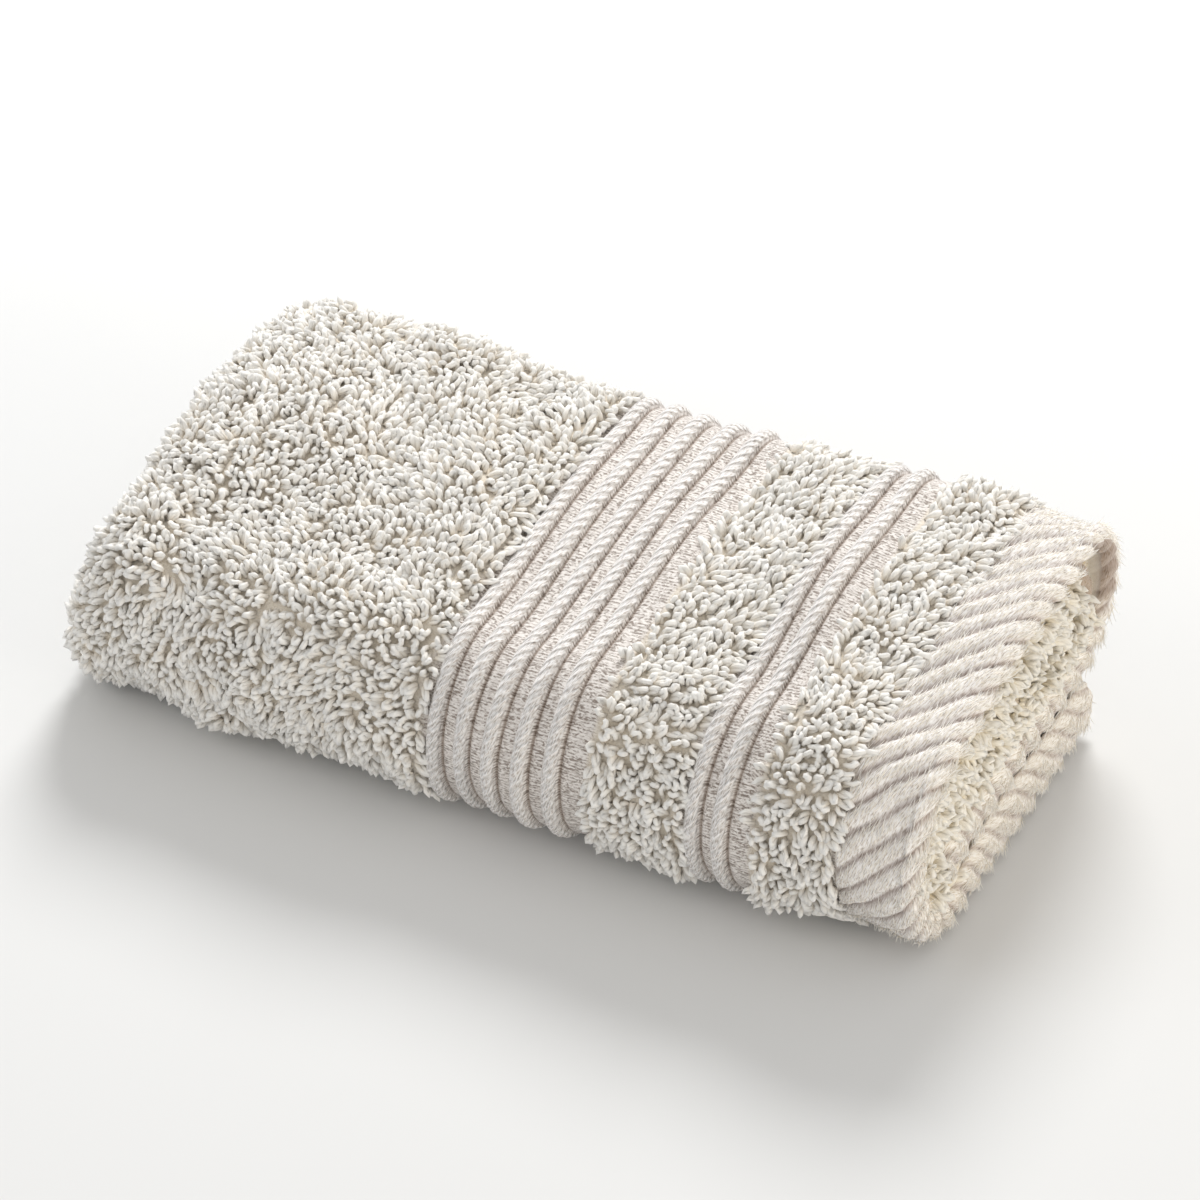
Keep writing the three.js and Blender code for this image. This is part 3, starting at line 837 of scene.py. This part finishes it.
def run_tree(source, tree, values, name):
    """Run a tree on a mesh object and keep the result as a plain mesh object."""
    modifier = source.modifiers.new("nodes", "NODES")
    modifier.node_group = tree
    identifiers = {s.name: s.identifier for s in tree.interface.items_tree if s.in_out == "INPUT"}
    for label, value in values.items():
        modifier[identifiers[label]] = value
    evaluated = source.evaluated_get(bpy.context.evaluated_depsgraph_get())
    mesh = bpy.data.meshes.new_from_object(evaluated)
    mesh.name = name
    mesh.shade_smooth()
    made = bpy.data.objects.new(name, mesh)
    bpy.context.scene.collection.objects.link(made)
    bpy.data.objects.remove(source)
    return made


# %% The tree for the pile
pile_tree, given, result = new_tree("terry loops", {
    "Loops": ("NodeSocketCollection", None),
    "Spacing": ("NodeSocketFloat", 0.002),
    "Scatter": ("NodeSocketFloat", 0.4),
    "Clump Size": ("NodeSocketFloat", 0.006),
    "Clump": ("NodeSocketFloat", 0.5),
    "Bend": ("NodeSocketFloat", 0.0012),
    "Seed": ("NodeSocketInt", 1),
    "Material": ("NodeSocketMaterial", None),
})
MOST_PER_SQUARE_METRE = 2.0e6  # tried places before the spacing thins them out
SMALLEST = (0.8, 0.8, 0.8)
LARGEST = (1.15, 1.15, 1.25)
CLUMP_LEAN = 4.0
LOWEST = 0.3 * MM  # over the table
value_of = given.outputs

pile_share, tip, lean, leaning = [
    add(pile_tree, "GeometryNodeInputNamedAttribute", {"Name": name}, data_type=kind)
    for name, kind in (
        ("pile", "FLOAT"), ("tip", "FLOAT"), ("lean", "FLOAT_VECTOR"), ("leaning", "FLOAT_VECTOR"))]
points = add(pile_tree, "GeometryNodeDistributePointsOnFaces", {
    "Mesh": value_of["Geometry"], "Distance Min": value_of["Spacing"],
    "Density Max": MOST_PER_SQUARE_METRE, "Density Factor": pile_share,
    "Seed": value_of["Seed"],
}, distribute_method="POISSON")
where = add(pile_tree, "GeometryNodeInputPosition")
clump_scale = add(pile_tree, "ShaderNodeMath", {0: 1.0, 1: value_of["Clump Size"]}, operation="DIVIDE")
clump_noise = add(pile_tree, "ShaderNodeTexNoise", {
    "Vector": where, "Scale": clump_scale, "Detail": 1.0})
centred = add(pile_tree, "ShaderNodeVectorMath", {
    0: clump_noise.outputs["Color"], 1: (0.5, 0.5, 0.5)}, operation="SUBTRACT")
clump_lean = add(pile_tree, "ShaderNodeMath", {0: value_of["Clump"], 1: CLUMP_LEAN}, operation="MULTIPLY")
clump = add(pile_tree, "ShaderNodeVectorMath", {
    0: centred, "Scale": clump_lean}, operation="SCALE")
stray = add(pile_tree, "FunctionNodeRandomValue", {
    0: (-1, -1, -1), 1: (1, 1, 1), "Seed": value_of["Seed"]}, data_type="FLOAT_VECTOR")
strayed = add(pile_tree, "ShaderNodeVectorMath", {
    0: stray, "Scale": value_of["Scatter"]}, operation="SCALE")
own = add(pile_tree, "ShaderNodeVectorMath", {0: clump, 1: strayed})
whole = add(pile_tree, "ShaderNodeVectorMath", {0: own, 1: lean})
kept = add(pile_tree, "GeometryNodeStoreNamedAttribute", {
    "Geometry": points.outputs["Points"], "Name": "leaning", "Value": whole,
}, data_type="FLOAT_VECTOR", domain="POINT")
shade_value = add(pile_tree, "FunctionNodeRandomValue", {2: 0.0, 3: 1.0, "Seed": 7}, data_type="FLOAT")
shaded = add(pile_tree, "GeometryNodeStoreNamedAttribute", {
    "Geometry": kept, "Name": "shade", "Value": shade_value.outputs[1],
}, data_type="FLOAT", domain="POINT")

direction = add(pile_tree, "ShaderNodeVectorMath", {0: points.outputs["Normal"], 1: whole})
upright = add(pile_tree, "FunctionNodeAlignRotationToVector", {"Vector": direction}, axis="Z")
spin = add(pile_tree, "FunctionNodeRandomValue", {2: 0.0, 3: 2 * math.pi, "Seed": 3}, data_type="FLOAT")
spin_turn = add(pile_tree, "FunctionNodeAxisAngleToRotation", {
    "Axis": (0, 0, 1), "Angle": spin.outputs[1]})
turned = add(pile_tree, "FunctionNodeRotateRotation", {
    "Rotation": upright, "Rotate By": spin_turn}, rotation_space="LOCAL")
growth = add(pile_tree, "FunctionNodeRandomValue", {
    0: SMALLEST, 1: LARGEST, "Seed": 5}, data_type="FLOAT_VECTOR")
shapes = add(pile_tree, "GeometryNodeCollectionInfo", {
    "Collection": value_of["Loops"], "Separate Children": True, "Reset Children": True})
pick = add(pile_tree, "FunctionNodeRandomValue", {4: 0, 5: 3, "Seed": 9}, data_type="INT")
planted = add(pile_tree, "GeometryNodeInstanceOnPoints", {
    "Points": shaded, "Instance": shapes, "Pick Instance": True,
    "Instance Index": pick.outputs[2], "Rotation": turned, "Scale": growth})
real = add(pile_tree, "GeometryNodeRealizeInstances", {"Geometry": planted})

bend_share = add(pile_tree, "ShaderNodeMath", {0: tip, 1: 2.0}, operation="POWER")
bend_size = add(pile_tree, "ShaderNodeMath", {
    0: bend_share, 1: value_of["Bend"]}, operation="MULTIPLY")
bent = add(pile_tree, "ShaderNodeVectorMath", {
    0: leaning, "Scale": bend_size}, operation="SCALE")
moved = add(pile_tree, "ShaderNodeVectorMath", {0: where, 1: bent})
parted = add(pile_tree, "ShaderNodeSeparateXYZ", {0: moved})
above = add(pile_tree, "ShaderNodeMath", {0: parted.outputs[2], 1: LOWEST}, operation="MAXIMUM")
joined = add(pile_tree, "ShaderNodeCombineXYZ", {
    0: parted, 1: parted.outputs[1], 2: above})
settled = add(pile_tree, "GeometryNodeSetPosition", {
    "Geometry": real, "Position": joined})
coloured = add(pile_tree, "GeometryNodeSetMaterial", {
    "Geometry": settled, "Material": value_of["Material"]})
pile_tree.links.new(coloured.outputs[0], result.inputs[0])

# %% [markdown]
# ## Cotton, in three finishes
# The whole towel is undyed ring-spun cotton. Cotton is matt, with a soft sheen from loose fibres
# at grazing angles, and light that enters the pile comes out warmer from its depth. For that the
# colour carries painted shade: the loops are darker and warmer at the root than at the tip, and the
# insides of the roll are painted a warmer cream for light bounced between the plies. A photo
# texture would show one towel only, so colour, fibres and weave are worked out from the place on
# the cloth.


# %% Colours and patterns
def colour(code):
    """A linear colour from an sRGB hex value."""
    parts = [int(code[i:i + 2], 16) / 255 for i in (1, 3, 5)]
    return [p / 12.92 if p <= 0.04045 else ((p + 0.055) / 1.055) ** 2.4 for p in parts] + [1.0]


def new_material(name):
    made = bpy.data.materials.new(name)
    made.use_nodes = True
    made.node_tree.nodes.clear()
    return made, made.node_tree


def cotton_surface(tree, base, normal):
    """Matt cotton with a soft sheen."""
    face = add(tree, "ShaderNodeBsdfPrincipled", {
        "Base Color": base, "Normal": normal, "Roughness": 0.95, "IOR": 1.5, "Specular IOR Level": 0.2,
        "Sheen Weight": 0.35, "Sheen Roughness": 0.5})
    add(tree, "ShaderNodeOutputMaterial", {"Surface": face})


def ramp(tree, factor, *stops):
    """A colour ramp from pairs of a place and a hex colour."""
    node = add(tree, "ShaderNodeValToRGB", {0: factor})
    elements = node.color_ramp.elements
    while len(elements) < len(stops):
        elements.new(0.5)
    for element, (position, code) in zip(elements, stops):
        element.position = position
        element.color = colour(code)
    return node


def fibres(tree, degrees, across, along):
    """Streaks over the cloth's own map: their direction, and their width and length in mm."""
    uv = add(tree, "ShaderNodeUVMap", uv_map="cloth")
    turned = add(tree, "ShaderNodeMapping", {
        "Vector": uv, "Rotation": (0, 0, math.radians(degrees))})
    stretched = add(tree, "ShaderNodeMapping", {
        "Vector": turned, "Scale": (1 / (along * MM), 1 / (across * MM), 1)})
    return add(tree, "ShaderNodeTexNoise", {
        "Vector": stretched, "Scale": 1.0, "Detail": 2.0})


# %% Looped yarn
def yarn_material(name, *stops):
    """Soft two-ply cotton: bright rounded tips, and painted shade that makes it warmer and darker towards
    the ground and on the inner side of each arch.
    """
    made, tree = new_material(name)
    tip_value, shade, outside = [
        add(tree, "ShaderNodeAttribute", attribute_name=name).outputs["Fac"]
        for name in ("tip", "shade", "outside")]
    yarn = fibres(tree, 20, 0.35, 2.2)
    # what darkens the yarn: its own random tone, painted shade on the inside of the loop, and the gaps
    # between fibres
    tone = 1.0
    shadings = ((shade, 0.0, 1.0, 0.95), (outside, 0.0, 0.4, 0.87), (yarn, 0.3, 0.7, 0.9))
    for value, low, high, darkest in shadings:
        part = add(tree, "ShaderNodeMapRange", {"Value": value, 1: low, 2: high, 3: darkest, 4: 1.0})
        tone = add(tree, "ShaderNodeMath", {0: tone, 1: part}, operation="MULTIPLY")
    toned = add(tree, "ShaderNodeVectorMath", {
        0: ramp(tree, tip_value, *stops), "Scale": tone}, operation="SCALE")
    bump = add(tree, "ShaderNodeBump", {"Strength": 0.6, "Distance": 0.25 * MM, "Height": yarn})
    cotton_surface(tree, toned, bump)
    return made


# undyed cotton loops with painted shade at their roots; inside the roll they are painted a warmer
# cream, for light bounced between the plies
loop_cotton = yarn_material(
    "looped cotton yarn", (0.0, "#E9DFCF"), (0.4, "#F6F0E6"), (0.8, "#FBF8F2"), (1.0, "#FDFBF7"))
warm_bounce_cotton = yarn_material(
    "cream looped yarn", (0.0, "#EFE2C6"), (0.4, "#F9F0DD"), (0.8, "#FDF7EA"), (1.0, "#FEFAF1"))

# %% Woven ground, cords and hem
# plain weave of fine twisted threads, a brushed face on the cords and hem, and insides painted a
# warmer cream for light bounced between the plies; shade is painted into the grooves and between
# the cords' strands
STRAND_TURN = -38  # degrees, the lay of the strands to a cord's length
STRAND_SCALE = 0.15  # of their pattern, for a strand each 3.4 mm along the cord
WEAVE_PITCH = 0.95  # mm from one cross thread to the next; the real 0.6 would not show
CROSS_THREADS = 0.12  # their share of the weave's pattern, which is mostly uneven thread
woven_cotton, tree = new_material("woven and brushed cotton")
hem_share, flat_share, inside, crest = [
    add(tree, "ShaderNodeAttribute", attribute_name=name).outputs["Fac"]
    for name in ("hem", "flat", "inside", "crest")]
uv = add(tree, "ShaderNodeUVMap", uv_map="cloth")
hem_fibres = fibres(tree, 73, 0.3, 1.9)
cord_fibres = fibres(tree, 73, 0.3, 1.5)
fleck_scale = add(tree, "ShaderNodeMapping", {
    "Vector": uv, "Scale": (1 / (0.55 * MM), 1 / (0.45 * MM), 1)})
fleck = add(tree, "ShaderNodeTexNoise", {"Vector": fleck_scale, "Scale": 1.0, "Detail": 2.0})
weave_scale = add(tree, "ShaderNodeMapping", {
    "Vector": uv, "Scale": (1 / (1.5 * WEAVE_PITCH * MM), 1 / (0.8 * WEAVE_PITCH * MM), 1)})
threads = add(tree, "ShaderNodeTexNoise", {
    "Vector": weave_scale, "Scale": 1.0, "Detail": 1.0, "Distortion": 1.2})
cross_threads = add(tree, "ShaderNodeTexWave", {
    "Vector": uv, "Scale": math.pi / 10 / (WEAVE_PITCH * MM), "Distortion": 1.5, "Detail": 1.0,
    "Detail Scale": 2.0}, bands_direction="Y")
thread_mix = add(tree, "ShaderNodeMix", {
    0: CROSS_THREADS, 2: threads, 3: cross_threads.outputs["Fac"]})
strand_turn = add(tree, "ShaderNodeMapping", {
    "Vector": uv, "Rotation": (0, 0, math.radians(STRAND_TURN))})
strands = add(tree, "ShaderNodeTexWave", {
    "Vector": strand_turn, "Scale": STRAND_SCALE / MM, "Distortion": 1.2, "Detail": 2.0,
    "Detail Scale": 1.5}, bands_direction="X")
raised = add(tree, "ShaderNodeMapRange", {"Value": crest, 1: 0.4, 2: 0.62})
on_cords = add(tree, "ShaderNodeMath", {0: raised, 1: flat_share}, operation="MULTIPLY")
# painted shade between a cord's strands
strand_gap_shade = add(tree, "ShaderNodeMapRange", {
    "Value": strands.outputs["Fac"], 1: 0.0, 2: 0.4, 3: 0.84, 4: 1.0})
strand_shade = add(tree, "ShaderNodeMix", {0: on_cords, 2: 1.0, 3: strand_gap_shade})
# painted shade: the cloth darkens where the crest value is low, in the grooves beside the cords, between the
# hem's ribs and between the parted plies
cord_groove_shade = ramp(tree, crest, (0.0, "#BDB0A5"), (0.24, "#FFFFFF"))
rib_groove_shade = ramp(tree, crest, (0.0, "#B9ABA5"), (0.7, "#FFFFFF"))
brushed = add(tree, "ShaderNodeMix", {0: hem_share, 2: cord_fibres, 3: hem_fibres})
brushed_colour = ramp(tree, brushed, (0.34, "#C4BAB2"), (0.48, "#F1ECE7"), (0.6, "#FFFDFB"))
weave_colour = ramp(tree, thread_mix, (0.36, "#978C83"), (0.47, "#D1C9C2"), (0.6, "#F3EEE9"))
# painted shade: the ground under the loops is a darker beige than the yarn, so the gaps between loops look
# shaded
shaded_ground_colour = ramp(tree, fleck, (0.3, "#DACFBC"), (0.7, "#EFE7DA"))
# painted warm light: the insides of the roll get a creamier colour for light bounced between the plies
bounce_cream = ramp(tree, brushed, (0.32, "#D8C7A6"), (0.5, "#F6EBD6"), (0.66, "#FEF9EE"))
cord_or_weave = add(tree, "ShaderNodeMix", {
    0: raised, 6: weave_colour, 7: brushed_colour}, data_type="RGBA").outputs[2]
face_colour = shaded_ground_colour
for share, over in ((flat_share, cord_or_weave), (hem_share, brushed_colour), (inside, bounce_cream)):
    face_colour = add(tree, "ShaderNodeMix", {
        0: share, 6: face_colour, 7: over}, data_type="RGBA").outputs[2]
ribbed = add(tree, "ShaderNodeMath", {0: hem_share, 1: inside}, operation="MAXIMUM", use_clamp=True)
rib_shade = add(tree, "ShaderNodeMix", {0: ribbed, 6: cord_groove_shade, 7: rib_groove_shade}, data_type="RGBA")
shaded = add(tree, "ShaderNodeVectorMath", {
    0: face_colour, 1: rib_shade.outputs[2]}, operation="MULTIPLY")
toned = add(tree, "ShaderNodeVectorMath", {
    0: shaded, "Scale": strand_shade}, operation="SCALE")
strand_height = add(tree, "ShaderNodeMath", {
    0: on_cords, 1: strands.outputs["Fac"]}, operation="MULTIPLY")
strand_bump = add(tree, "ShaderNodeBump", {
    "Strength": 1.0, "Distance": 0.65 * MM, "Height": strand_height})
bump = add(tree, "ShaderNodeBump", {
    "Strength": 0.8, "Distance": 0.4 * MM, "Height": brushed, "Normal": strand_bump})
cotton_surface(tree, toned, bump)
ground.data.materials.append(woven_cotton)

# %% Loose fibre
# fine single fibres: nearly white, since light passes through them
fibre_cotton, tree = new_material("loose cotton fibre")
tip_value = add(tree, "ShaderNodeAttribute", attribute_name="tip").outputs["Fac"]
wisp = fibres(tree, 0, 0.3, 1.2)
# painted shade: darker and warmer at the fibre's root
base = ramp(tree, tip_value, (0.0, "#EFE5D2"), (0.5, "#FAF6EE"), (1.0, "#FDFCF9"))
bump = add(tree, "ShaderNodeBump", {"Strength": 0.3, "Distance": 0.1 * MM, "Height": wisp})
cotton_surface(tree, base, bump)

# %% Plant loops and fibres
# mm between the roots of loops, which stand further apart where they show less
SPACING = {"ground_under": 2.5, "ground_ledge": 1.8, "ground_edge": 1.8, "ground_back": 1.8}
SHOWN_SPACING = 1.64
FIRST_SEED = 20
settings = {
    patch.name: {
        "Loops": loop_shapes, "Spacing": SPACING.get(patch.name, SHOWN_SPACING) * MM, "Scatter": 0.36,
        "Clump": 0.55, "Clump Size": 0.008, "Bend": 0.001, "Material": loop_cotton}
    for patch in patches}
settings["ground_brushed"] = {
    "Loops": short_fibres, "Spacing": 0.6 * MM, "Scatter": 0.9, "Clump": 0.7, "Bend": 0.0001,
    "Material": fibre_cotton}
settings["ground_inside"] = {
    "Loops": loop_shapes, "Spacing": 1.5 * MM, "Scatter": 0.9, "Clump": 1.2, "Bend": 0.0012,
    "Material": warm_bounce_cotton}
pieces = []
for seed, patch in enumerate(all_patches, FIRST_SEED):
    values = {"Seed": seed, **settings[patch.name]}
    piece = run_tree(patch, pile_tree, values, patch.name.replace("ground", "pile"))
    pieces.append(piece)
    triangles = sum(len(p.vertices) - 2 for p in piece.data.polygons)
    print(piece.name, triangles, "triangles")

# %% [markdown]
# ## Everything rides on the one body
# The towel has no moving part, so every piece rides on the root. The woven ground stands for the
# imported solid, which is hidden, and its loops go with it.

# %% Body, and the imported solid hidden
for piece in [ground, *pieces]:
    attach(piece, "root")
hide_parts("towel")

# %% [markdown]
# ## Floor, light and camera
# The photo is a bright product shot: white all round, one broad soft light from behind and a
# little to the right, so that the top glows, the near side is in gentle shade and a soft shadow
# falls forward on the table. Area lights and a pale surrounding give that.

# %% Floor and light
bpy.ops.mesh.primitive_plane_add(size=6, location=(0, 0, 0))
floor = bpy.context.active_object
floor.name = "floor"
floor_material, tree = new_material("matt white table")
table = add(tree, "ShaderNodeBsdfPrincipled", {"Base Color": colour("#DADAD9"), "Roughness": 0.9})
add(tree, "ShaderNodeOutputMaterial", {"Surface": table})
floor.data.materials.append(floor_material)

surroundings = bpy.data.worlds.new("studio")
surroundings.use_nodes = True
background = surroundings.node_tree.nodes["Background"]
background.inputs["Color"].default_value = (1.0, 1.0, 1.0, 1.0)
background.inputs["Strength"].default_value = 0.64
bpy.context.scene.world = surroundings


def soft_light(name, location, target, size, power, tint="#FFFFFF"):
    data = bpy.data.lights.new(name, "AREA")
    data.color = colour(tint)[:3]
    data.shape = "DISK"
    data.size = size
    data.energy = power
    made = bpy.data.objects.new(name, data)
    made.location = location
    made.rotation_euler = (Vector(target) - Vector(location)).to_track_quat("-Z", "Y").to_euler()
    bpy.context.scene.collection.objects.link(made)


soft_light("back_light", (-0.38, 1.22, 1.1), (0, 0, 0.03), 0.7, 25.5)
soft_light("front_fill", (-1.1, -0.75, 0.8), (-0.05, -0.05, 0), 1.0, 3.4)
soft_light("end_fill", (1.3, -0.25, 0.35), (0, 0, 0.03), 0.8, 6.0, "#FFF6E8")
bpy.context.scene.view_settings.view_transform = "Standard"

# %% Camera
CAMERA_PLACE = (0.49539, -0.95998, 0.93180)
CAMERA_TURN = (50.218, 0, 27.0855)  # degrees
data = bpy.data.cameras.new("camera")
data.lens = 166.79
data.sensor_width = 36
camera = bpy.data.objects.new("camera", data)
camera.location = CAMERA_PLACE
camera.rotation_euler = [math.radians(angle) for angle in CAMERA_TURN]
bpy.context.scene.collection.objects.link(camera)
bpy.context.scene.camera = camera
